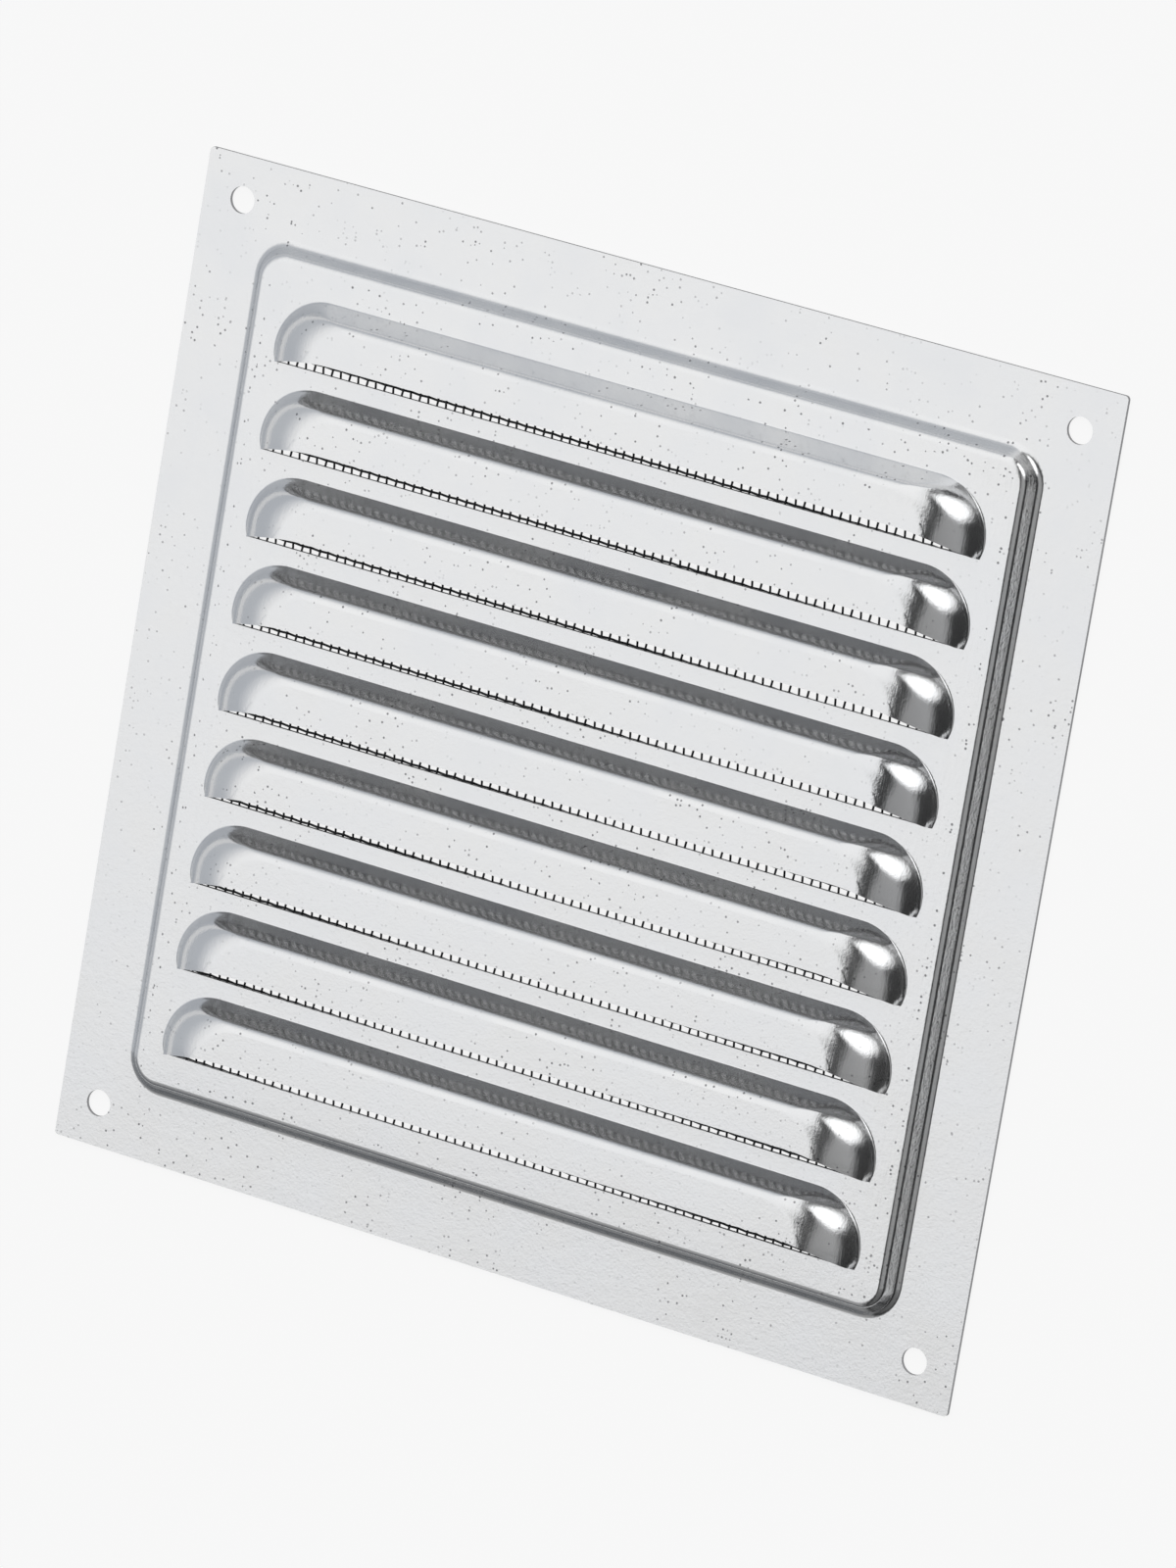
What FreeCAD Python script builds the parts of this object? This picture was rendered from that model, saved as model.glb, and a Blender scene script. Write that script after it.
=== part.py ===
"""Louvred sheet metal panel: a square stamped wall vent with an insect screen behind it.

Two pieces, in millimetres:
  louvre_panel   one stamped sheet: flat flange with four screw holes, a raised pan, and nine
                 louvre hoods that stand proud of the pan, domed at both ends and open below
  insect_screen  a square of wire cloth that lies against the pan's back, behind the louvres

The panel lies on the back of its flange: +Z points out of the wall, +Y up the wall, and the
origin is the centre of the flange's back face. Every louvre opens towards -Y.

The stamping is the space between two forms, as between a die and its punch: an outer form that
gives the front faces, less an inner form of the same make, one sheet thickness inside it. The
sharp line where a hood rises from the pan stands for a bend of less than a millimetre.
"""

import FreeCAD, Part
import math
import os

import Sketcher
from FreeCAD import Vector

SIZES = {
    # flange
    "panel_side": 150.0,
    "sheet_thickness": 0.6,
    "panel_corner_radius": 0.6,
    "flange_width": 11.0,
    "screw_hole_inset": 6.5,
    "screw_hole_diameter": 4.0,
    # raised pan; flange width and corner radius end where the pan's wall meets the flange's face
    "pan_corner_radius": 5.2,
    "pan_rise": 2.3,
    "pan_wall_slope": 58.0,
    "pan_crest_bend": 1.2,
    "pan_base_bend": 1.2,
    # louvre hoods; margins, depth and corner radius are taken where hood walls and pan cross
    "louvre_count": 9,
    "louvre_side_margin": 6.1,
    "louvre_end_margin": 6.565,
    "hood_depth": 10.07,
    "hood_rise": 4.7,
    "hood_wall_slope": 74.0,
    "hood_corner_radius": 8.3,
    "hood_crest_bend": 1.5,
    "dome_length": 8.45,
    "dome_radius": 11.0,
    "lip_setback": 2.4,
    "lip_taper_length": 11.8,
    # insect screen: its fine weave becomes one web with square gaps and ridges between them
    "screen_overlap": 2.1,
    "screen_web": 0.3,
    "screen_bar_width": 2.7,
    "screen_gap_rows": 10,
    "screen_ridge_height": 0.15,
    "screen_ridge_width": 0.4,
    "screen_ridge_spacing": 1.47,
}

doc = FreeCAD.newDocument("louvred_panel")
sheet = doc.addObject("Spreadsheet::Sheet", "Sizes")
for row, (size_name, size_value) in enumerate(SIZES.items(), start=1):
    sheet.set(f"A{row}", size_name)
    sheet.set(f"B{row}", str(size_value))
    sheet.setAlias(f"B{row}", size_name)
doc.recompute()

# Rules on the sheet's cells, for the front faces: widths, heights, the lowest cut, walls' lean
PAN_SIDE = "(Sizes.panel_side - 2 * Sizes.flange_width)"
HOOD_LENGTH = f"({PAN_SIDE} - 2 * Sizes.louvre_side_margin)"
LOUVRE_SPAN = f"({PAN_SIDE} - 2 * Sizes.louvre_end_margin - Sizes.hood_depth)"
CUT_BELOW_CENTRE = f"({PAN_SIDE} / 2 - Sizes.louvre_end_margin)"
PAN_TOP = "(Sizes.pan_rise + Sizes.sheet_thickness)"
HOOD_TOP = "(Sizes.pan_rise + Sizes.sheet_thickness + Sizes.hood_rise)"
HOOD_LEAN = "Sizes.hood_rise / tan(Sizes.hood_wall_slope * 1 deg)"
# Room that a cut takes outside the metal, and how far a leaning front wall starts past the cut
CLEAR = "Sizes.sheet_thickness"
OVERRUN = f"({HOOD_LEAN} + {CLEAR})"
# A face that lies one unit deeper in the sheet has its foot this much further in
PAN_SHIFT = "tan(Sizes.pan_wall_slope / 2 * 1 deg)"
HOOD_SHIFT = "tan(Sizes.hood_wall_slope / 2 * 1 deg)"


def cell(name):
    """A size from the sheet, as a plain number."""
    return float(sheet.get(name))


# ---- Sketches -------------------------------------------------------------------------------

def origin_feature(body, role):
    return next(feature for feature in body.Origin.OriginFeatures if feature.Role == role)


def new_sketch(body, name, plane="XY_Plane", height="0"):
    """A sketch on one of the body's origin planes, lifted off it by a rule."""
    sketch = body.newObject("Sketcher::SketchObject", name)
    sketch.AttachmentSupport = [(origin_feature(body, plane), "")]
    sketch.MapMode = "FlatFace"
    sketch.setExpression("AttachmentOffset.Base.z", height)
    return sketch


def add_line(sketch, start, end):
    return sketch.addGeometry(Part.LineSegment(Vector(*start, 0), Vector(*end, 0)))


def add_arc(sketch, centre, radius, start_degrees, end_degrees):
    circle = Part.Circle(Vector(*centre, 0), Vector(0, 0, 1), radius)
    arc = Part.ArcOfCircle(circle, math.radians(start_degrees), math.radians(end_degrees))
    return sketch.addGeometry(arc)


def constrain(sketch, kind, *groups):
    """Adds one kind of constraint to each group of elements."""
    for group in groups:
        sketch.addConstraint(Sketcher.Constraint(kind, *group))


def close_loop(sketch, count, *joints):
    """Joins edges 1, 2, 3 ... end to start, and the given joints as well."""
    constrain(sketch, "Coincident", *joints, *((e, 2, e + 1, 1) for e in range(1, count - 1)))


def dimension(sketch, kind, *where, start, rule):
    """Adds a dimension with a starting value and binds it to a rule."""
    index = sketch.addConstraint(Sketcher.Constraint(kind, *where, start))
    sketch.setExpression(f"Constraints[{index}]", rule)


def rounded_square(body, name, height, half_side, corner_radius):
    """A square about the origin with four equal rounded corners; both sizes are rules."""
    sketch = new_sketch(body, name, height=height)
    half, radius = 50, 5
    flat = half - radius
    add_line(sketch, (-flat, -half), (flat, -half))
    add_arc(sketch, (flat, -flat), radius, 270, 360)
    add_line(sketch, (half, -flat), (half, flat))
    add_arc(sketch, (flat, flat), radius, 0, 90)
    add_line(sketch, (flat, half), (-flat, half))
    add_arc(sketch, (-flat, flat), radius, 90, 180)
    add_line(sketch, (-half, flat), (-half, -flat))
    add_arc(sketch, (-flat, -flat), radius, 180, 270)
    constrain(sketch, "Tangent", *((edge, 2, (edge + 1) % 8, 1) for edge in range(8)))
    constrain(sketch, "Equal", (1, 3), (1, 5), (1, 7))
    constrain(sketch, "Symmetric", (0, 1, 0, 2, -2), (2, 1, 2, 2, -1))
    constrain(sketch, "Horizontal", (4,))
    constrain(sketch, "Vertical", (6,))
    dimension(sketch, "Radius", 1, start=radius, rule=corner_radius)
    dimension(sketch, "DistanceX", -1, 1, 2, 1, start=half, rule=half_side)
    dimension(sketch, "DistanceY", -1, 1, 4, 1, start=half, rule=half_side)
    return sketch


def rectangle(body, name, height, left, right, below, above):
    """A rectangle given by how far its sides lie to the left, right, below and above."""
    sketch = new_sketch(body, name, height=height)
    add_line(sketch, (-60, -60), (60, -60))
    add_line(sketch, (60, -60), (60, -57))
    add_line(sketch, (60, -57), (-60, -57))
    add_line(sketch, (-60, -57), (-60, -60))
    constrain(sketch, "Coincident", (0, 2, 1, 1), (1, 2, 2, 1), (2, 2, 3, 1), (3, 2, 0, 1))
    constrain(sketch, "Horizontal", (0,), (2,))
    constrain(sketch, "Vertical", (1,), (3,))
    dimension(sketch, "DistanceX", 0, 1, -1, 1, start=60, rule=left)
    dimension(sketch, "DistanceX", -1, 1, 0, 2, start=60, rule=right)
    dimension(sketch, "DistanceY", 0, 1, -1, 1, start=60, rule=below)
    dimension(sketch, "DistanceY", -1, 1, 1, 2, start=-57, rule=above)
    return sketch


def hood_plan(body, height, shift):
    """The lowest hood's foot: a straight front past the cut, and two round corners behind."""
    sketch = new_sketch(body, "hood_plan", height=height)
    half, radius, front, back = 50, 8, -60, -48
    knee = back - radius
    add_line(sketch, (-half, front), (half, front))
    add_line(sketch, (half, front), (half, knee))
    add_arc(sketch, (half - radius, knee), radius, 0, 90)
    add_line(sketch, (half - radius, back), (radius - half, back))
    add_arc(sketch, (radius - half, knee), radius, 90, 180)
    add_line(sketch, (-half, knee), (-half, front))
    constrain(sketch, "Tangent", (1, 2, 2, 1), (2, 2, 3, 1), (3, 2, 4, 1), (4, 2, 5, 1))
    constrain(sketch, "Coincident", (0, 2, 1, 1), (5, 2, 0, 1))
    constrain(sketch, "Symmetric", (0, 1, 0, 2, -2))
    constrain(sketch, "Vertical", (1,), (5,))
    constrain(sketch, "Horizontal", (3,))
    constrain(sketch, "Equal", (2, 4))
    dimension(sketch, "DistanceX", -1, 1, 0, 2, start=half, rule=f"{HOOD_LENGTH} / 2 - {shift}")
    front_rule = f"{CUT_BELOW_CENTRE} + {OVERRUN}"
    dimension(sketch, "DistanceY", 0, 2, -1, 1, start=-front, rule=front_rule)
    depth_rule = f"Sizes.hood_depth + {OVERRUN} - {shift}"
    dimension(sketch, "DistanceY", 0, 2, 3, 1, start=back - front, rule=depth_rule)
    dimension(sketch, "Radius", 2, start=radius, rule=f"Sizes.hood_corner_radius - {shift}")
    return sketch


def dome_profile(body, inset):
    """What the right-hand dome leaves out, seen along Y: all that lies above its arc."""
    sketch = new_sketch(body, "dome_profile", plane="XZ_Plane")
    start_x, end_x, far_x, top, radius = 49.5, 58, 62, 7.6, 11
    turn = math.degrees(math.asin((end_x - start_x) / radius))
    end_y = top - radius * (1 - math.cos(math.radians(turn)))
    add_arc(sketch, (start_x, top - radius), radius, 90 - turn, 90)
    add_line(sketch, (start_x, top), (start_x, top + 2))
    add_line(sketch, (start_x, top + 2), (far_x, top + 2))
    add_line(sketch, (far_x, top + 2), (far_x, end_y))
    add_line(sketch, (far_x, end_y), (end_x, end_y))
    close_loop(sketch, 5, (0, 2, 1, 1), (4, 2, 0, 1))
    constrain(sketch, "Vertical", (1,), (3,), (0, 3, 0, 2))
    constrain(sketch, "Horizontal", (2,), (4,))
    start_rule = f"{HOOD_LENGTH} / 2 - Sizes.dome_length"
    dimension(sketch, "DistanceX", -1, 1, 0, 2, start=start_x, rule=start_rule)
    dimension(sketch, "DistanceX", 0, 2, 0, 1, start=end_x - start_x, rule="Sizes.dome_length")
    dimension(sketch, "DistanceX", 0, 1, 3, 2, start=far_x - end_x, rule=CLEAR)
    dimension(sketch, "Radius", 0, start=radius, rule=f"Sizes.dome_radius - {inset}")
    dimension(sketch, "DistanceY", -1, 1, 0, 2, start=top, rule=f"{HOOD_TOP} - {inset}")
    dimension(sketch, "DistanceY", 1, 1, 1, 2, start=2, rule=CLEAR)
    return sketch


def shoulder_profile(body, inset, shift):
    """What the bend along the back of the lowest hood leaves out, seen along X."""
    sketch = new_sketch(body, "shoulder_profile", plane="YZ_Plane")
    slope = 74
    crest, top, radius = -49.8, 7.6, 1.5
    side = math.radians(90 - slope)
    foot = (crest + radius * math.cos(side), top - radius + radius * math.sin(side))
    add_arc(sketch, (crest, top - radius), radius, 90 - slope, 90)
    add_line(sketch, (crest, top), (crest, top + 2))
    add_line(sketch, (crest, top + 2), (foot[0] + 2, top + 2))
    add_line(sketch, (foot[0] + 2, top + 2), (foot[0] + 2, foot[1]))
    add_line(sketch, (foot[0] + 2, foot[1]), foot)
    close_loop(sketch, 5, (0, 2, 1, 1), (4, 2, 0, 1))
    constrain(sketch, "Vertical", (1,), (3,), (0, 3, 0, 2))
    constrain(sketch, "Horizontal", (2,), (4,))
    bend_radius = f"(Sizes.hood_crest_bend - {inset})"
    back_rule = f"{CUT_BELOW_CENTRE} - Sizes.hood_depth + {shift}"
    crest_rule = f"{back_rule} + {HOOD_LEAN} + {bend_radius} * {HOOD_SHIFT}"
    run_rule = f"{bend_radius} * sin(Sizes.hood_wall_slope * 1 deg)"
    dimension(sketch, "DistanceX", 0, 2, -1, 1, start=-crest, rule=crest_rule)
    dimension(sketch, "DistanceX", 0, 2, 0, 1, start=foot[0] - crest, rule=run_rule)
    dimension(sketch, "DistanceX", 0, 1, 3, 2, start=2, rule=CLEAR)
    dimension(sketch, "Radius", 0, start=radius, rule=bend_radius)
    dimension(sketch, "DistanceY", -1, 1, 0, 2, start=top, rule=f"{HOOD_TOP} - {inset}")
    dimension(sketch, "DistanceY", 1, 1, 1, 2, start=2, rule=CLEAR)
    return sketch


def lip_plan(body):
    """The strip between the lowest cut and its hood's lip, which curves out to the cut's ends."""
    sketch = new_sketch(body, "lip_plan")
    half, flat, cut, lip = 58, 46, -57.4, -55
    bow = ((half - flat) ** 2 + (lip - cut) ** 2) / (2 * (lip - cut))
    turn = math.degrees(math.asin((half - flat) / bow))
    add_line(sketch, (-half, cut), (half, cut))
    add_arc(sketch, (flat, lip - bow), bow, 90 - turn, 90)
    add_line(sketch, (flat, lip), (-flat, lip))
    add_arc(sketch, (-flat, lip - bow), bow, 90, 90 + turn)
    constrain(sketch, "Coincident", (0, 2, 1, 1), (3, 2, 0, 1))
    constrain(sketch, "Tangent", (1, 2, 2, 1), (2, 2, 3, 1))
    constrain(sketch, "Symmetric", (0, 1, 0, 2, -2))
    constrain(sketch, "Equal", (1, 3))
    dimension(sketch, "DistanceX", -1, 1, 0, 2, start=half, rule=f"{HOOD_LENGTH} / 2")
    dimension(sketch, "DistanceY", 0, 2, -1, 1, start=-cut, rule=CUT_BELOW_CENTRE)
    dimension(sketch, "DistanceY", 0, 2, 2, 1, start=lip - cut, rule="Sizes.lip_setback")
    dimension(sketch, "DistanceX", 2, 1, 0, 2, start=half - flat, rule="Sizes.lip_taper_length")
    return sketch


# ---- Features -------------------------------------------------------------------------------

def finish(body, feature, gains):
    """Recomputes, and checks that the feature adds (or takes) material."""
    doc.recompute()
    body.Tip = feature
    before = feature.BaseFeature.Shape.Volume if feature.BaseFeature else 0.0
    change = feature.Shape.Volume - before
    if (change > 0) != gains or abs(change) < 1e-3:
        raise RuntimeError(f"{feature.Label} changed the volume by {change:.3f} mm3")
    return feature


def pad(body, name, sketch, length, taper="0"):
    feature = body.newObject("PartDesign::Pad", name)
    feature.Profile = sketch
    feature.setExpression("Length", length)
    feature.setExpression("TaperAngle", taper)
    return finish(body, feature, gains=True)


def pocket(body, name, sketch, length=None):
    """A pocket that goes up, towards +Z, from its sketch; with no length it goes right through."""
    feature = body.newObject("PartDesign::Pocket", name)
    feature.Profile = sketch
    feature.Reversed = True
    if length:
        feature.setExpression("Length", length)
    else:
        feature.Type = "ThroughAll"
    return finish(body, feature, gains=False)


def pocket_along(body, name, sketch):
    """A pocket as long as the panel, half of it each way from an upright sketch."""
    feature = body.newObject("PartDesign::Pocket", name)
    feature.Profile = sketch
    feature.SideType = "Symmetric"
    feature.setExpression("Length", "Sizes.panel_side")
    return finish(body, feature, gains=False)


def mirrored(body, name, original, gains):
    """Repeats a feature of the right-hand side on the left."""
    feature = body.newObject("PartDesign::Mirrored", name)
    feature.Originals = [original]
    feature.MirrorPlane = (origin_feature(body, "YZ_Plane"), [""])
    return finish(body, feature, gains)


def row_of_louvres(body, name, gains, originals=None):
    """Repeats the lowest louvre's features, or the whole body so far, up the panel."""
    feature = body.newObject("PartDesign::LinearPattern", name)
    if originals:
        feature.Originals = originals
    else:
        feature.TransformMode = "Whole shape"
    feature.Direction = (origin_feature(body, "Y_Axis"), [""])
    feature.setExpression("Length", LOUVRE_SPAN)
    feature.setExpression("Occurrences", "Sizes.louvre_count")
    return finish(body, feature, gains)


def bend_square(body, name, height, half_side, radius, gains):
    """Rounds the rounded square of edges that has a given height and half side."""
    base = body.Tip
    names = []
    for index, edge in enumerate(base.Shape.Edges, start=1):
        points = [vertex.Point for vertex in edge.Vertexes]
        misses = [abs(max(abs(point.x), abs(point.y)) - half_side) for point in points]
        misses += [abs(point.z - height) for point in points]
        if max(misses) < 1e-4:
            names.append(f"Edge{index}")
    feature = body.newObject("PartDesign::Fillet", name)
    feature.Base = (base, names)
    feature.setExpression("Radius", radius)
    return finish(body, feature, gains)


# ---- Louvre panel ---------------------------------------------------------------------------

def add_hoods(body, inset):
    """All hoods of one form, each flat in front at its cut; the inset is a rule."""
    shift = f"{inset} * {HOOD_SHIFT}"
    plan = hood_plan(body, f"{PAN_TOP} - {inset}", shift)
    lean = "(Sizes.hood_wall_slope - 90) * 1 deg"
    pad(body, "hood", plan, "Sizes.hood_rise", taper=lean)
    pocket_along(body, "shoulder", shoulder_profile(body, inset, shift))
    right_dome = pocket_along(body, "right_dome", dome_profile(body, inset))
    mirrored(body, "left_dome", right_dome, gains=False)
    half_length = f"{HOOD_LENGTH} / 2"
    below = f"{CUT_BELOW_CENTRE} + {OVERRUN} + {CLEAR}"
    above = f"-1 * ({CUT_BELOW_CENTRE})"
    front = rectangle(body, "front_strip", "0", half_length, half_length, below, above)
    pocket(body, "front", front)
    row_of_louvres(body, "hoods", gains=True)


def add_pan(body, inset):
    """The pan and the plate it stands on; the inset is a rule."""
    side = f"{PAN_SIDE} / 2 - {inset} * {PAN_SHIFT}"
    corner = f"Sizes.pan_corner_radius - {inset} * {PAN_SHIFT}"
    foot = f"Sizes.sheet_thickness - {inset}"
    outline = rounded_square(body, "pan_outline", foot, side, corner)
    pad(body, "pan", outline, "Sizes.pan_rise", taper="(Sizes.pan_wall_slope - 90) * 1 deg")
    half_panel = "Sizes.panel_side / 2"
    panel_corner = "Sizes.panel_corner_radius"
    plate = rounded_square(body, "plate_outline", f"-{inset}", half_panel, panel_corner)
    pad(body, "plate", plate, "Sizes.sheet_thickness")
    foot_box = outline.Shape.BoundBox
    lean = cell("pan_rise") / math.tan(math.radians(cell("pan_wall_slope")))
    foot_bend = f"Sizes.pan_base_bend + {inset}"
    crest_bend = f"Sizes.pan_crest_bend - {inset}"
    crest_height = foot_box.ZMax + cell("pan_rise")
    bend_square(body, "foot_bend", foot_box.ZMax, foot_box.XMax, foot_bend, gains=True)
    bend_square(body, "crest_bend", crest_height, foot_box.XMax - lean, crest_bend, gains=False)


panel = doc.addObject("PartDesign::Body", "louvre_panel")
add_hoods(panel, inset="0")
add_pan(panel, inset="0")

inner_form = doc.addObject("PartDesign::Body", "inner_form")
add_hoods(inner_form, inset="Sizes.sheet_thickness")
add_pan(inner_form, inset="Sizes.sheet_thickness")

stamping = panel.newObject("PartDesign::Boolean", "stamping")
stamping.setObjects([inner_form])
stamping.Type = "Cut"
finish(panel, stamping, gains=False)

mouth = pocket(panel, "mouth", lip_plan(panel))
row_of_louvres(panel, "mouths", gains=False, originals=[mouth])

hole_sketch = new_sketch(panel, "screw_hole_centre")
hole_sketch.addGeometry(Part.Circle(Vector(68, 68, 0), Vector(0, 0, 1), 2))
for direction in ("DistanceX", "DistanceY"):
    half_spacing = "Sizes.panel_side / 2 - Sizes.screw_hole_inset"
    dimension(hole_sketch, direction, -1, 1, 0, 3, start=68, rule=half_spacing)
dimension(hole_sketch, "Radius", 0, start=2, rule="Sizes.screw_hole_diameter / 2")
screw_hole = pocket(panel, "screw_hole", hole_sketch)
screw_holes = panel.newObject("PartDesign::PolarPattern", "screw_holes")
screw_holes.Originals = [screw_hole]
screw_holes.Axis = (origin_feature(panel, "Z_Axis"), [""])
screw_holes.Angle = 360
screw_holes.Occurrences = 4
finish(panel, screw_holes, gains=False)


# ---- Insect screen --------------------------------------------------------------------------

screen = doc.addObject("PartDesign::Body", "insect_screen")
WEB_FRONT = "(Sizes.pan_rise - Sizes.screen_ridge_height)"
WEB_BACK = f"({WEB_FRONT} - Sizes.screen_web)"
RIDGES_BACK = f"({WEB_BACK} - Sizes.screen_ridge_height)"
HALF_SCREEN = f"({HOOD_LENGTH} / 2 + Sizes.screen_overlap)"
# The outermost bar, and the row of gaps beside it, as distances from the middle
FIRST_BAR = f"({HALF_SCREEN} - Sizes.screen_bar_width / 2)"
GAP_PITCH = f"(2 * {FIRST_BAR} / Sizes.screen_gap_rows)"


def pattern_of_screen(name, original, axes, extra, gains):
    """Repeats a feature at the gap pitch along one or two axes."""
    feature = screen.newObject("PartDesign::LinearPattern", name)
    feature.Originals = [original]
    for suffix, axis in zip(("", "2"), axes):
        setattr(feature, f"Direction{suffix}", (origin_feature(screen, axis), [""]))
        span = f"(Sizes.screen_gap_rows - 1 + {extra}) * {GAP_PITCH}"
        feature.setExpression(f"Length{suffix}", span)
        feature.setExpression(f"Occurrences{suffix}", f"Sizes.screen_gap_rows + {extra}")
    return finish(screen, feature, gains)


web_sketch = rectangle(screen, "web_outline", WEB_BACK, *(HALF_SCREEN,) * 4)
pad(screen, "web", web_sketch, "Sizes.screen_web")

far_edge = f"{FIRST_BAR} - Sizes.screen_bar_width / 2"
near_edge = f"{FIRST_BAR} - {GAP_PITCH} + Sizes.screen_bar_width / 2"
gap_sides = (far_edge, f"-1 * ({near_edge})") * 2
gap = pocket(screen, "gap", rectangle(screen, "gap_outline", RIDGES_BACK, *gap_sides))
pattern_of_screen("gaps", gap, ("X_Axis", "Y_Axis"), extra=0, gains=False)

for side, height, along_y in (("front", WEB_FRONT, True), ("back", RIDGES_BACK, False)):
    for number, offset in ((1, "-"), (2, "+")):
        middle = f"{FIRST_BAR} {offset} Sizes.screen_ridge_spacing / 2"
        across = (
            f"{middle} + Sizes.screen_ridge_width / 2",
            f"-1 * ({middle} - Sizes.screen_ridge_width / 2)",
        )
        ends = (HALF_SCREEN, HALF_SCREEN)
        sides = across + ends if along_y else ends + across
        ridge_sketch = rectangle(screen, f"{side}_ridge_outline_{number}", height, *sides)
        ridge = pad(screen, f"{side}_ridge_{number}", ridge_sketch, "Sizes.screen_ridge_height")
        axis = "X_Axis" if along_y else "Y_Axis"
        pattern_of_screen(f"{side}_ridges_{number}", ridge, (axis,), extra=1, gains=True)


# ---- Checks and files -----------------------------------------------------------------------

doc.recompute()
for thing in doc.Objects:
    if "Invalid" in thing.State or "Error" in thing.State:
        raise RuntimeError(f"{thing.Label} failed: {thing.State}")

os.makedirs("parts", exist_ok=True)
for piece in (panel, screen):
    shape = piece.Shape
    if shape.isNull() or not shape.isValid() or len(shape.Solids) != 1:
        raise RuntimeError(f"{piece.Label} is not one valid solid")
    shape.exportStep(f"parts/{piece.Label}.step")
    print(f"{piece.Label}: {shape.Volume:.1f} mm3, {len(shape.Faces)} faces")
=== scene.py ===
import math

import bmesh
import bpy
from mathutils import Matrix, Vector
from mathutils.geometry import intersect_sphere_sphere_2d


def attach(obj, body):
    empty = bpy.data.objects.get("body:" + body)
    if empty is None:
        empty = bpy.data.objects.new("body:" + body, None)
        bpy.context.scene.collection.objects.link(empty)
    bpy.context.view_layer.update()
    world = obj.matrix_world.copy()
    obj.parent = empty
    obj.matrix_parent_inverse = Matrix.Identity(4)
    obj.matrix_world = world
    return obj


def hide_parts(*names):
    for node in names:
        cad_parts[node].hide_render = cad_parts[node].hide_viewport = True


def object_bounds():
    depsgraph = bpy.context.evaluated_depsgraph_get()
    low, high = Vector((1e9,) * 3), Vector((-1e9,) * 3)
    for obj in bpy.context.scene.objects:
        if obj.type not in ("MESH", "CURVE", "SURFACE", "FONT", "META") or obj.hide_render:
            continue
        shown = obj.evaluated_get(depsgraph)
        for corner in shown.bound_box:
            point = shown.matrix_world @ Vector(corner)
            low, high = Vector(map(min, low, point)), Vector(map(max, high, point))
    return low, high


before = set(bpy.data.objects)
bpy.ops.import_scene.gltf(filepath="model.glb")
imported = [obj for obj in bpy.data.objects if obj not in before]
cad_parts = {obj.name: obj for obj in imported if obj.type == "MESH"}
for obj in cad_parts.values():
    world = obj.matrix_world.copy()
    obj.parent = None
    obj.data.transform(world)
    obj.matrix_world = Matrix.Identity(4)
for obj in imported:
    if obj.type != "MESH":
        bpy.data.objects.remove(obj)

cad_low, cad_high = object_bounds()

# ---- Stage ----------------------------------------------------------------------------------
# A white table under soft studio light. The sky holds what bright metal mirrors in a studio: a
# white screen to the left, a dark gap overhead, and a grey room to the right with one window
# in it and black below. A long lens looks down on the panel from the upper right.

MM = 0.001
FLOOR_SIZE = 6.0
FLOOR_GAP = 0.02 * MM
FLOOR_PAINT = (0.9, 0.9, 0.9, 1)
FLOOR_SHADOW_SHARE = 0.12
FLOOR_IN_METAL = 0.5
WINDOW_DIRECTION = (0.56, 0.66, 0.50)
WINDOW_STRENGTH = 1.4
CAMERA_PLACE = (734.97 * MM, 406.16 * MM, 1457.81 * MM)
CAMERA_TURN = (-9.0722, 28.6187, 10.5961)
CAMERA_LENS = 270.0
CAMERA_SENSOR = 36.0


def new_material(name):
    """A node material with nothing but its output, and the two handles that it is built with."""
    material = bpy.data.materials.new(name)
    material.use_nodes = True
    material.node_tree.nodes.clear()
    output = material.node_tree.nodes.new("ShaderNodeOutputMaterial")
    return material, material.node_tree, output


def plug(tree, socket, value):
    """Gives an input a number, a colour or another node's output."""
    if isinstance(value, bpy.types.NodeSocket):
        tree.links.new(value, socket)
    else:
        socket.default_value = value


def add_node(tree, kind, **inputs):
    """Adds a node and sets the inputs given by socket name, with _ for a space."""
    node = tree.nodes.new(kind)
    for name, value in inputs.items():
        plug(tree, node.inputs[name.replace("_", " ")], value)
    return node


def maths(tree, operation, first, second=0.0, third=0.0):
    """A Math node on sockets or numbers; returns its output socket."""
    node = tree.nodes.new("ShaderNodeMath")
    node.operation = operation
    for socket, value in zip(node.inputs, (first, second, third)):
        plug(tree, socket, value)
    return node.outputs[0]


def ramp(tree, factor, stops):
    """A colour ramp from (place, colour) stops; a colour may be one grey number."""
    node = tree.nodes.new("ShaderNodeValToRGB")
    tree.links.new(factor, node.inputs["Fac"])
    elements = node.color_ramp.elements
    while len(elements) < len(stops):
        elements.new(0.5)
    for element, (place, colour) in zip(elements, sorted(stops)):
        element.position = place
        grey = isinstance(colour, (int, float))
        element.color = (colour, colour, colour, 1) if grey else (*colour, 1)
    return node.outputs["Color"]


def colour_mix(tree, factor, first, second, blend="MIX"):
    """A colour Mix node on sockets, colours or numbers; returns its output socket."""
    node = tree.nodes.new("ShaderNodeMix")
    node.data_type = "RGBA"
    node.blend_type = blend
    factor_input, first_input, second_input = node.inputs[0], node.inputs[6], node.inputs[7]
    plug(tree, factor_input, factor)
    for socket, value in ((first_input, first), (second_input, second)):
        plug(tree, socket, (*value, 1) if isinstance(value, tuple) else value)
    return node.outputs[2]


def at(degrees):
    """Where an angle lies on a ramp of leans: 0 is straight up, and right is positive."""
    return degrees / 180 + 0.5


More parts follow.
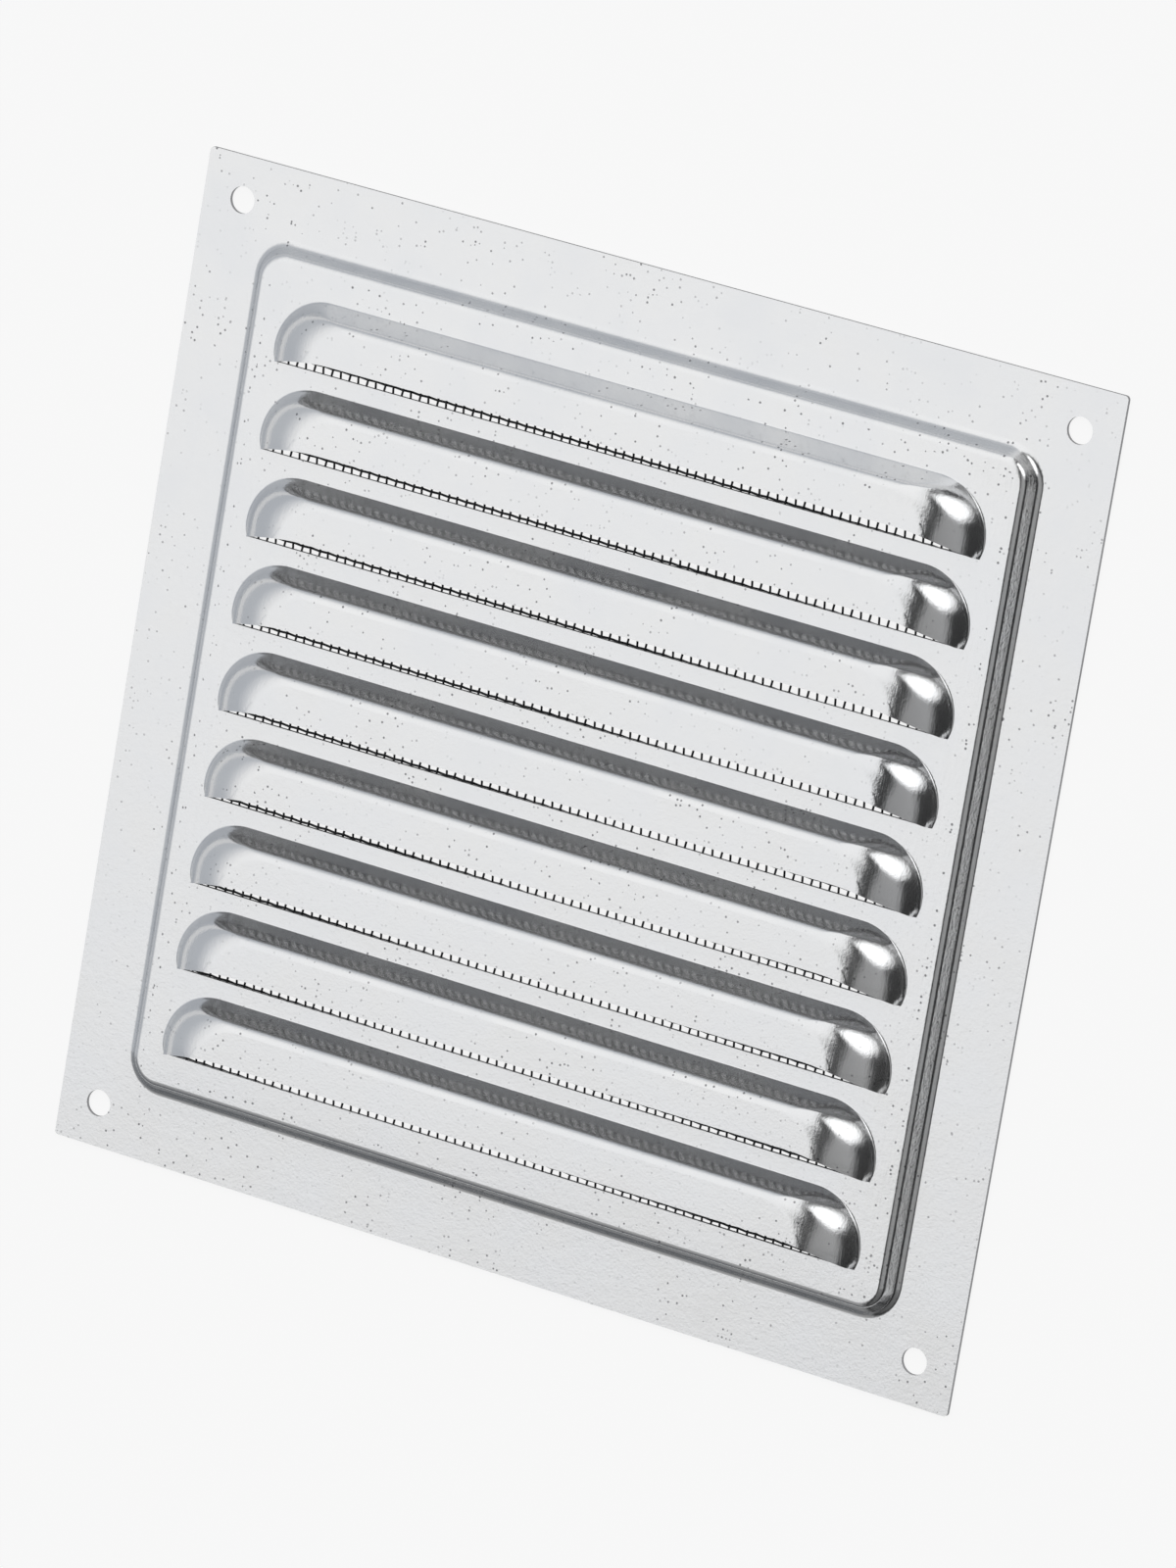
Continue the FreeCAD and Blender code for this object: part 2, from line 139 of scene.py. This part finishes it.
def make_sky():
    """Brightness by direction: by its lean to the left or right, and by how far back it lies."""
    world = bpy.data.worlds.new("studio")
    bpy.context.scene.world = world
    world.use_nodes = True
    tree = world.node_tree
    tree.nodes.clear()
    direction = tree.nodes.new("ShaderNodeTexCoord").outputs["Generated"]
    axes = add_node(tree, "ShaderNodeSeparateXYZ", Vector=direction).outputs
    lean = maths(tree, "MULTIPLY_ADD", maths(tree, "ARCTAN2", axes["X"], axes["Z"]), 1 / math.pi, 0.5)
    back_share = maths(tree, "MULTIPLY_ADD", axes["Y"], 0.5, 0.5)
    screen_light = ramp(tree, lean, [
        (at(-90), (0.48, 0.50, 0.53)),
        (at(-60), (0.50, 0.52, 0.55)),
        (at(-46), (0.68, 0.69, 0.71)),
        (at(-38), 0.90),
        (at(-31), 1.02),
    ])
    room_light = ramp(tree, lean, [
        (at(-5), 0.27), (at(48), 0.36), (at(55), 0.20), (at(60), 0.015), (at(90), 0.010),
    ])
    gap_shift = ramp(tree, back_share, [
        (0.370, 0.0), (0.425, 3 / 180), (0.525, 12 / 180), (0.600, 18 / 180), (0.950, 26 / 180),
    ])
    gap_lean = maths(tree, "SUBTRACT", lean, gap_shift)
    side = ramp(tree, gap_lean, [(at(-16), 0.0), (at(-8), 1.0)])
    gap = ramp(tree, gap_lean, [(at(-20), 1.0), (at(-15), 0.03), (at(-5), 0.02), (at(6), 1.0)])
    sky = colour_mix(tree, side, screen_light, room_light)
    sky = colour_mix(tree, 1.0, sky, gap, "MULTIPLY")
    window = add_node(tree, "ShaderNodeVectorMath", Vector=direction)
    window.operation = "DOT_PRODUCT"
    window.inputs[1].default_value = Vector(WINDOW_DIRECTION).normalized()
    pane = ramp(tree, window.outputs["Value"], [(0.88, 0.0), (0.97, WINDOW_STRENGTH)])
    sky = colour_mix(tree, 1.0, sky, pane, "ADD")
    front = ramp(tree, back_share, [(0.04, 0.22), (0.32, 0.45), (0.36, 1.0)])
    sky = colour_mix(tree, 1.0, sky, front, "MULTIPLY")
    background = add_node(tree, "ShaderNodeBackground", Color=sky, Strength=1.0)
    output = tree.nodes.new("ShaderNodeOutputWorld")
    tree.links.new(background.outputs[0], output.inputs["Surface"])


def make_floor():
    """A table that the camera sees white, but for a faint shadow, and the metal sees half as white."""
    bm = bmesh.new()
    bmesh.ops.create_grid(bm, x_segments=1, y_segments=1, size=FLOOR_SIZE / 2)
    bmesh.ops.translate(bm, verts=bm.verts, vec=(0, 0, cad_low.z - FLOOR_GAP))
    mesh = bpy.data.meshes.new("floor")
    bm.to_mesh(mesh)
    bm.free()
    floor = bpy.data.objects.new("floor", mesh)
    bpy.context.scene.collection.objects.link(floor)
    material, tree, output = new_material("white_table")
    paths = tree.nodes.new("ShaderNodeLightPath").outputs
    mirrored = maths(tree, "MULTIPLY", paths["Is Glossy Ray"], FLOOR_IN_METAL)
    seen = maths(tree, "MAXIMUM", paths["Is Camera Ray"], mirrored)
    glow_share = maths(tree, "MULTIPLY", seen, 1 - FLOOR_SHADOW_SHARE)
    paint = add_node(tree, "ShaderNodeBsdfDiffuse", Color=FLOOR_PAINT)
    glow = add_node(tree, "ShaderNodeEmission", Color=(1, 1, 1, 1), Strength=1.0)
    mix = tree.nodes.new("ShaderNodeMixShader")
    tree.links.new(glow_share, mix.inputs[0])
    tree.links.new(paint.outputs[0], mix.inputs[1])
    tree.links.new(glow.outputs[0], mix.inputs[2])
    tree.links.new(mix.outputs[0], output.inputs["Surface"])
    mesh.materials.append(material)


def make_camera():
    """The long lens, turned so that the panel's top edge falls to the right."""
    camera_data = bpy.data.cameras.new("camera")
    camera_data.lens = CAMERA_LENS
    camera_data.sensor_width = CAMERA_SENSOR
    camera_data.clip_end = 2 * FLOOR_SIZE
    camera = bpy.data.objects.new("camera", camera_data)
    bpy.context.scene.collection.objects.link(camera)
    camera.location = CAMERA_PLACE
    camera.rotation_euler = [math.radians(turn) for turn in CAMERA_TURN]
    bpy.context.scene.camera = camera


bpy.context.scene.view_settings.view_transform = "Standard"
make_sky()
make_floor()
make_camera()

# ---- Louvre panel ---------------------------------------------------------------------------
# One square of galvanised steel sheet, stamped in one stroke: a flat flange, a raised pan, and
# a row of slits whose upper sides are drawn out into hoods with domed ends. The front face is
# modelled in millimetres as rings of edges that are bridged, and then given its thickness.

PANEL_HALF = cad_high.x / MM
PANEL_CORNER = 0.6
SHEET = 0.6
HOLE_PLACE = 68.5
HOLE_RADIUS = 2.0
PAN_HALF = 64.0
PAN_CORNER = 5.2
PAN_RISE = 2.3
PAN_SLOPE = math.radians(58)
PAN_BEND = 1.2
PAN_TOP = SHEET + PAN_RISE
LOUVRES = 9
PITCH = 13.1
FIRST_CUT = -57.435
HOOD_HALF = 57.9
HOOD_DEPTH = 10.4
HOOD_RISE = cad_high.z / MM - PAN_TOP
HOOD_SLOPE = math.radians(69)
HOOD_FOOT_BEND = 0.3
HOOD_CREST_BEND = 1.5
HOOD_CORNER_FOOT = 8.3
HOOD_CORNER_CREST = 6.0
DOME_START = 49.7
DOME_RADIUS = 10.0
LIP_SETBACK = 2.4
LIP_FLAT_HALF = 46.0
# The slit's end, with a small rounding there that draws the hood's rings in as they rise
SLIT_END = HOOD_HALF - 0.05
SLIT_END_DRAW = 0.5
# Steps of the mesh
ARC_STEPS = 18
PAN_ARC_STEPS = 9
SIDE_STEPS = 5
BACK_STEPS = 6
LIP_STEPS = 4
BEND_STEPS = 6
DOME_STEPS = 22
HOLE_STEPS = 40
LEVEL_PLAY = 1e-5
MERGE_PLAY = 1e-4
# The turn from a dome's crest down to its foot over which its rings are spread
RING_TURN = math.radians(57.3)
# Worked out: where the dome meets its foot bend, and the arc that takes the lip to the slit's end
DOME_SPREAD = DOME_RADIUS + HOOD_FOOT_BEND
DOME_FOOT_TURN = math.acos((HOOD_FOOT_BEND - HOOD_RISE + DOME_RADIUS) / DOME_SPREAD)
DOME_END = DOME_START + DOME_SPREAD * math.sin(DOME_FOOT_TURN)
LIP_RUN = SLIT_END - LIP_FLAT_HALF
LIP_RADIUS = (LIP_RUN ** 2 + LIP_SETBACK ** 2) / (2 * LIP_SETBACK)
LIP_CENTRE = Vector((LIP_FLAT_HALF, LIP_SETBACK - LIP_RADIUS))
# Finish
ZINC_DARK = (0.80, 0.81, 0.825)
ZINC_BRIGHT = (0.86, 0.865, 0.87)
ZINC_METALLIC = 0.92
PIT_COLOUR = (0.10, 0.10, 0.11)
PIT_CELLS = 1500.0
PIT_COVER = 0.75
PRESS_LINE = 60.9 * MM
PRESS_LINE_HALF_WIDTH = 0.35 * MM
GRAIN_HEIGHT = 0.024 * MM
EDGE_GREY = (0.45, 0.45, 0.46, 1)


def run_out(bm, vert, offset, steps):
    """Draws a straight chain of edges from a vertex; returns its far end."""
    for _ in range(steps):
        vert = bmesh.ops.extrude_vert_indiv(bm, verts=[vert])["verts"][0]
        vert.co += Vector(offset) / steps
    return vert


def run_round(bm, vert, centre, degrees, steps):
    """Draws an arc of edges from a vertex about an upright axis; returns its far end."""
    turned = bmesh.ops.spin(
        bm, geom=[vert], cent=centre, axis=(0, 0, 1), angle=math.radians(degrees), steps=steps,
    )
    return next(item for item in turned["geom_last"] if isinstance(item, bmesh.types.BMVert))


def bend_heights(radius, turn):
    """How far each step of a bend rises off the flat that it leaves."""
    turns = [turn * step / BEND_STEPS for step in range(BEND_STEPS + 1)]
    return [radius * (1 - math.cos(part)) for part in turns]


def wall_inset(height, rise, slope, foot_bend, crest_bend):
    """How far in from the line where wall and flat would cross a bent wall lies at a height."""
    half_turn = math.tan(slope / 2)
    if height < foot_bend * (1 - math.cos(slope)):
        turn = math.acos(1 - height / foot_bend)
        return foot_bend * (math.sin(turn) - half_turn)
    if height < rise - crest_bend * (1 - math.cos(slope)):
        return height / math.tan(slope)
    turn = math.acos(1 - (rise - height) / crest_bend)
    return rise / math.tan(slope) + crest_bend * (half_turn - math.sin(turn))


def rounded_square(bm, half, corner, z):
    """A closed ring of edges: four straight runs, each with the corner after it."""
    flat = half - corner
    start = vert = bm.verts.new((half, -flat, z))
    for quarter in range(4):
        turn = Matrix.Rotation(math.radians(90 * quarter), 3, "Z")
        vert = run_out(bm, vert, turn @ Vector((0, 2 * flat, 0)), 1)
        vert = run_round(bm, vert, turn @ Vector((flat, flat, z)), 90, PAN_ARC_STEPS)
    bmesh.ops.pointmerge(bm, verts=[vert, start], merge_co=start.co)


def ring_edges(bm, build, *args):
    """Runs a ring builder and returns the edges that it added."""
    before = set(bm.edges)
    build(bm, *args)
    return [edge for edge in bm.edges if edge not in before]


def bridge(bm, rings):
    """Spans a skin between each ring and the next."""
    for lower, upper in zip(rings, rings[1:]):
        bmesh.ops.bridge_loops(bm, edges=lower + upper)


def dome_reach(height):
    """How far out from the middle the dome lies at a height, bend at its foot included."""
    if height < HOOD_FOOT_BEND * (1 - math.cos(DOME_FOOT_TURN)):
        turn = math.acos(1 - height / HOOD_FOOT_BEND)
        return DOME_END - HOOD_FOOT_BEND * math.sin(turn)
    turn = math.acos(1 - (HOOD_RISE - height) / DOME_RADIUS)
    return DOME_START + DOME_RADIUS * math.sin(turn)


def hood_heights():
    """Heights of a hood's rings: even turns of its foot bend, and of its dome above that."""
    heights = bend_heights(HOOD_FOOT_BEND, RING_TURN)
    for step in range(DOME_STEPS - 1, -1, -1):
        turn = RING_TURN * step / DOME_STEPS
        heights.append(HOOD_RISE - DOME_RADIUS * (1 - math.cos(turn)))
    return heights


def lip_place(x):
    """How far behind the cut the lip lies, at a distance from the middle."""
    if x >= SLIT_END:
        return 0.0
    return LIP_CENTRE.y + math.sqrt(LIP_RADIUS ** 2 - (x - LIP_CENTRE.x) ** 2)


def hood_ring(bm, height):
    """Half of one level line round a hood, from its lip over the corner to the middle."""
    share = height / HOOD_RISE
    radius = HOOD_CORNER_FOOT + (HOOD_CORNER_CREST - HOOD_CORNER_FOOT) * share
    end = dome_reach(height)
    back = HOOD_DEPTH - wall_inset(height, HOOD_RISE, HOOD_SLOPE, HOOD_FOOT_BEND, HOOD_CREST_BEND)
    centre = Vector((end - radius, back - radius, height))
    start_x = min(end, SLIT_END - SLIT_END_DRAW * height)
    low = lip_place(start_x)
    if low <= centre.y:
        side = [bm.verts.new((end, low, height))]
        for _ in range(SIDE_STEPS):
            side.append(run_out(bm, side[-1], (0, (centre.y - low) / SIDE_STEPS, 0), 1))
        for step, side_vert in enumerate(side):
            pull = 1 - math.sin(math.pi / 2 * step / SIDE_STEPS)
            side_vert.co.x -= (end - start_x) * pull
        vert = run_round(bm, side[-1], centre, 90, ARC_STEPS)
    else:
        hits = intersect_sphere_sphere_2d(centre.xy, radius, LIP_CENTRE, LIP_RADIUS)
        start = max(hits, key=lambda hit: hit.x)
        turn = math.degrees(math.atan2(start.y - centre.y, start.x - centre.x))
        vert = bm.verts.new((start.x, start.y, height))
        vert = run_round(bm, vert, centre, 90 - turn, ARC_STEPS + SIDE_STEPS)
    run_out(bm, vert, (-vert.co.x, 0, 0), BACK_STEPS)


def make_hood(bm):
    """One whole hood about the middle, with its cut line on the X axis."""
    rings = [ring_edges(bm, hood_ring, height) for height in hood_heights()]
    bridge(bm, rings)
    crest = rings[-1]
    crest_verts = {vert for edge in crest for vert in edge.verts}
    ends = [vert for vert in crest_verts if len(set(vert.link_edges) & set(crest)) == 1]
    crest_middle, lip_start = sorted(ends, key=lambda vert: vert.co.x)
    before = set(bm.edges)
    centre = Vector((*LIP_CENTRE, lip_start.co.z))
    turn = math.degrees(math.atan2(lip_start.co.x - centre.x, lip_start.co.y - centre.y))
    vert = run_round(bm, lip_start, centre, turn, LIP_STEPS)
    vert = run_out(bm, vert, (-vert.co.x, 0, 0), BACK_STEPS)
    bm.edges.new((vert, crest_middle))
    lip = [edge for edge in bm.edges if edge not in before]
    bmesh.ops.triangle_fill(bm, edges=crest + lip, use_beauty=True, normal=(0, 0, 1))
    everything = bm.verts[:] + bm.edges[:] + bm.faces[:]
    bmesh.ops.mirror(bm, geom=everything, axis="X", merge_dist=MERGE_PLAY)


def make_louvres(bm):
    """The row of hoods on the pan, with each slit's lower side drawn between its ends."""
    make_hood(bm)
    bmesh.ops.translate(bm, verts=bm.verts, vec=(0, FIRST_CUT, PAN_TOP))
    hood = bm.verts[:] + bm.edges[:] + bm.faces[:]
    for louvre in range(1, LOUVRES):
        copy = bmesh.ops.duplicate(bm, geom=hood)["geom"]
        verts = [item for item in copy if isinstance(item, bmesh.types.BMVert)]
        bmesh.ops.translate(bm, verts=verts, vec=(0, PITCH * louvre, 0))
    slit_ends = [
        vert for vert in bm.verts
        if abs(vert.co.z - PAN_TOP) < LEVEL_PLAY and abs(abs(vert.co.x) - SLIT_END) < LEVEL_PLAY
    ]
    slit_ends.sort(key=lambda vert: (round(vert.co.y, 3), vert.co.x))
    for left, right in zip(slit_ends[::2], slit_ends[1::2]):
        bm.edges.new((left, right))


def make_pan_wall(bm):
    """The bent wall round the pan, from the flange's face to the pan's."""
    foot = bend_heights(PAN_BEND, PAN_SLOPE)
    crest = [PAN_RISE - height for height in reversed(foot)]
    rings = []
    for height in foot + crest:
        inset = wall_inset(height, PAN_RISE, PAN_SLOPE, PAN_BEND, PAN_BEND)
        ring = ring_edges(bm, rounded_square, PAN_HALF - inset, PAN_CORNER - inset, SHEET + height)
        rings.append(ring)
    bridge(bm, rings)


def fill_flat(bm, z):
    """Fills the flat region at a height between all the open edges that lie in it."""
    edges = []
    for edge in bm.edges:
        level = all(abs(vert.co.z - z) < LEVEL_PLAY for vert in edge.verts)
        if level and len(edge.link_faces) < 2:
            edges.append(edge)
    bmesh.ops.triangle_fill(bm, edges=edges, use_beauty=True, normal=(0, 0, 1))


def to_object(bm, name):
    """Turns a mesh made in millimetres into a smooth object at the origin."""
    for face in bm.faces:
        face.smooth = True
    bmesh.ops.scale(bm, verts=bm.verts, vec=(MM, MM, MM))
    mesh = bpy.data.meshes.new(name)
    bm.to_mesh(mesh)
    bm.free()
    piece = bpy.data.objects.new(name, mesh)
    bpy.context.scene.collection.objects.link(piece)
    return piece


def make_sheet():
    """The front face of the whole stamping, open at its edges, slits and holes."""
    bm = bmesh.new()
    make_louvres(bm)
    make_pan_wall(bm)
    fill_flat(bm, PAN_TOP)
    rounded_square(bm, PANEL_HALF, PANEL_CORNER, SHEET)
    for x, y in ((1, 1), (1, -1), (-1, 1), (-1, -1)):
        place = Matrix.Translation((x * HOLE_PLACE, y * HOLE_PLACE, SHEET))
        bmesh.ops.create_circle(bm, segments=HOLE_STEPS, radius=HOLE_RADIUS, matrix=place)
    fill_flat(bm, SHEET)
    bmesh.ops.remove_doubles(bm, verts=bm.verts, dist=MERGE_PLAY)
    bmesh.ops.recalc_face_normals(bm, faces=bm.faces)
    bm.normal_update()
    largest = max(bm.faces, key=lambda face: face.calc_area())
    if largest.normal.z < 0:
        bmesh.ops.reverse_faces(bm, faces=bm.faces)
    for edge in bm.edges:
        edge.smooth = not edge.is_boundary
    return to_object(bm, "stamped_sheet")


def spots(tree, position, scale, radius, share):
    """A mask of small round pits, found in a share of the cells of a fine pattern."""
    cells = add_node(tree, "ShaderNodeTexVoronoi", Vector=position, Scale=scale)
    inside = maths(tree, "LESS_THAN", cells.outputs["Distance"], radius)
    chance = add_node(tree, "ShaderNodeSeparateColor", Color=cells.outputs["Color"])
    picked = maths(tree, "LESS_THAN", chance.outputs["Red"], share)
    return maths(tree, "MULTIPLY", inside, picked)


def make_zinc():
    """Zinc over steel: a fine grain, a few dark pits, and rubbed streaks on the drawn ends."""
    material, tree, output = new_material("zinc_sheet")
    position = tree.nodes.new("ShaderNodeTexCoord").outputs["Object"]
    axes = add_node(tree, "ShaderNodeSeparateXYZ", Vector=position).outputs
    patches = add_node(tree, "ShaderNodeTexNoise", Vector=position, Scale=90.0, Detail=3.0)
    grain = add_node(tree, "ShaderNodeTexNoise", Vector=position, Scale=2600.0, Detail=3.0)
    crystals = add_node(tree, "ShaderNodeTexVoronoi", Vector=position, Scale=700.0)
    tint = ramp(tree, patches.outputs["Fac"], [(0.35, ZINC_DARK), (0.65, ZINC_BRIGHT)])
    clusters = ramp(tree, patches.outputs["Fac"], [(0.46, 0.15), (0.62, 1.0)])
    pits = maths(tree, "MULTIPLY", spots(tree, position, PIT_CELLS, 0.27, 0.16), clusters)
    sideways = maths(tree, "ABSOLUTE", axes["X"])
    from_middle = maths(tree, "MAXIMUM", sideways, maths(tree, "ABSOLUTE", axes["Y"]))
    off_line = maths(tree, "ABSOLUTE", maths(tree, "SUBTRACT", from_middle, PRESS_LINE))
    on_line = maths(tree, "LESS_THAN", off_line, PRESS_LINE_HALF_WIDTH)
    marks = maths(tree, "MULTIPLY", spots(tree, position, PIT_CELLS, 0.30, 0.28), on_line)
    dirt = maths(tree, "MULTIPLY", maths(tree, "MAXIMUM", pits, marks), PIT_COVER)
    colour = colour_mix(tree, dirt, tint, PIT_COLOUR)
    drawn = ramp(tree, sideways, [(0.0490, 0.0), (0.0515, 1.0)])
    proud = ramp(tree, axes["Z"], [(0.0032, 0.0), (0.0036, 1.0)])
    drawn = maths(tree, "MULTIPLY", drawn, proud)
    thread = add_node(tree, "ShaderNodeMapping", Vector=position, Scale=(1.0, 0.10, 0.6))
    streaks = add_node(tree, "ShaderNodeTexNoise", Vector=thread.outputs[0], Scale=3200.0, Detail=2.0)
    streak_height = maths(tree, "MULTIPLY", streaks.outputs["Fac"], drawn)
    height = maths(tree, "MULTIPLY_ADD", crystals.outputs["Distance"], 0.35, grain.outputs["Fac"])
    height = maths(tree, "MULTIPLY_ADD", streak_height, 1.2, height)
    bump = add_node(tree, "ShaderNodeBump", Height=height, Strength=0.5, Distance=GRAIN_HEIGHT)
    roughness = ramp(tree, patches.outputs["Fac"], [(0.3, 0.12), (0.7, 0.19)])
    shader = add_node(
        tree, "ShaderNodeBsdfPrincipled", Base_Color=colour, Metallic=ZINC_METALLIC,
        Roughness=roughness, Normal=bump.outputs[0],
    )
    tree.links.new(shader.outputs[0], output.inputs["Surface"])
    return material


def plain_metal(name, colour, roughness):
    """Bare metal of one colour."""
    material, tree, output = new_material(name)
    shader = add_node(
        tree, "ShaderNodeBsdfPrincipled", Base_Color=colour, Metallic=1.0, Roughness=roughness,
    )
    tree.links.new(shader.outputs[0], output.inputs["Surface"])
    return material


sheet = make_sheet()
sheet.data.materials.append(make_zinc())
sheet.data.materials.append(plain_metal("sheared_edge", EDGE_GREY, 0.5))
wall = sheet.modifiers.new("thickness", "SOLIDIFY")
wall.thickness = SHEET * MM
wall.offset = -1
wall.use_even_offset = True
wall.material_offset_rim = 1
flats = sheet.modifiers.new("flats", "WEIGHTED_NORMAL")
flats.keep_sharp = True
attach(sheet, "root")
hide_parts("louvre_panel")

# ---- Insect screen --------------------------------------------------------------------------
# A square of plain-woven steel wire cloth, cut from the roll and laid a little askew against
# the pan's back. Warp and weft are round wires that pass over and under each other.

SCREEN_SIDE = 119.0
WIRE_PITCH = 1.47
WIRE_RADIUS = 0.18
SCREEN_MIDDLE = 2.0
SCREEN_TURN = -0.65
WIRE_SIDES = 6
WIRES = int(SCREEN_SIDE / WIRE_PITCH)
WIRE_GREY = (0.05, 0.052, 0.056, 1)


def make_wires(name, across):
    """All wires of one direction: a ring is extruded along the cloth and lifted at crossings."""
    bm = bmesh.new()
    half = (WIRES - 1) * WIRE_PITCH / 2
    upright = Matrix.Rotation(math.pi / 2, 4, "Y")
    wire_end = Matrix.Translation((-half - WIRE_PITCH / 2, -half, 0))
    ring = bmesh.ops.create_circle(
        bm, segments=WIRE_SIDES, radius=WIRE_RADIUS, cap_ends=False, matrix=wire_end @ upright,
    )
    edges = list({edge for vert in ring["verts"] for edge in vert.link_edges})
    for _ in range(2 * WIRES):
        grown = bmesh.ops.extrude_edge_only(bm, edges=edges)["geom"]
        verts = [item for item in grown if isinstance(item, bmesh.types.BMVert)]
        edges = [item for item in grown if isinstance(item, bmesh.types.BMEdge)]
        bmesh.ops.translate(bm, verts=verts, vec=(WIRE_PITCH / 2, 0, 0))
    wire = bm.verts[:] + bm.edges[:] + bm.faces[:]
    for index in range(1, WIRES):
        copy = bmesh.ops.duplicate(bm, geom=wire)["geom"]
        verts = [item for item in copy if isinstance(item, bmesh.types.BMVert)]
        bmesh.ops.translate(bm, verts=verts, vec=(0, index * WIRE_PITCH, 0))
    first_side = -1 if across else 1
    for vert in bm.verts:
        column = (vert.co.x + half) / WIRE_PITCH
        row = round((vert.co.y + half) / WIRE_PITCH)
        vert.co.z += first_side * WIRE_RADIUS * math.cos(math.pi * (column + row))
    if across:
        flip = Matrix.Scale(-1, 4, (0, 1, 0))
        bmesh.ops.transform(bm, matrix=Matrix.Rotation(math.pi / 2, 4, "Z") @ flip, verts=bm.verts)
    askew = Matrix.Rotation(math.radians(SCREEN_TURN), 3, "Z")
    bmesh.ops.rotate(bm, verts=bm.verts, matrix=askew)
    bmesh.ops.translate(bm, verts=bm.verts, vec=(0, 0, SCREEN_MIDDLE))
    bmesh.ops.recalc_face_normals(bm, faces=bm.faces)
    return to_object(bm, name)


wire_steel = plain_metal("wire_steel", WIRE_GREY, 0.42)
for name, across in (("warp_wires", True), ("weft_wires", False)):
    wires = make_wires(name, across)
    wires.data.materials.append(wire_steel)
    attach(wires, "root")
    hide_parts("insect_screen")
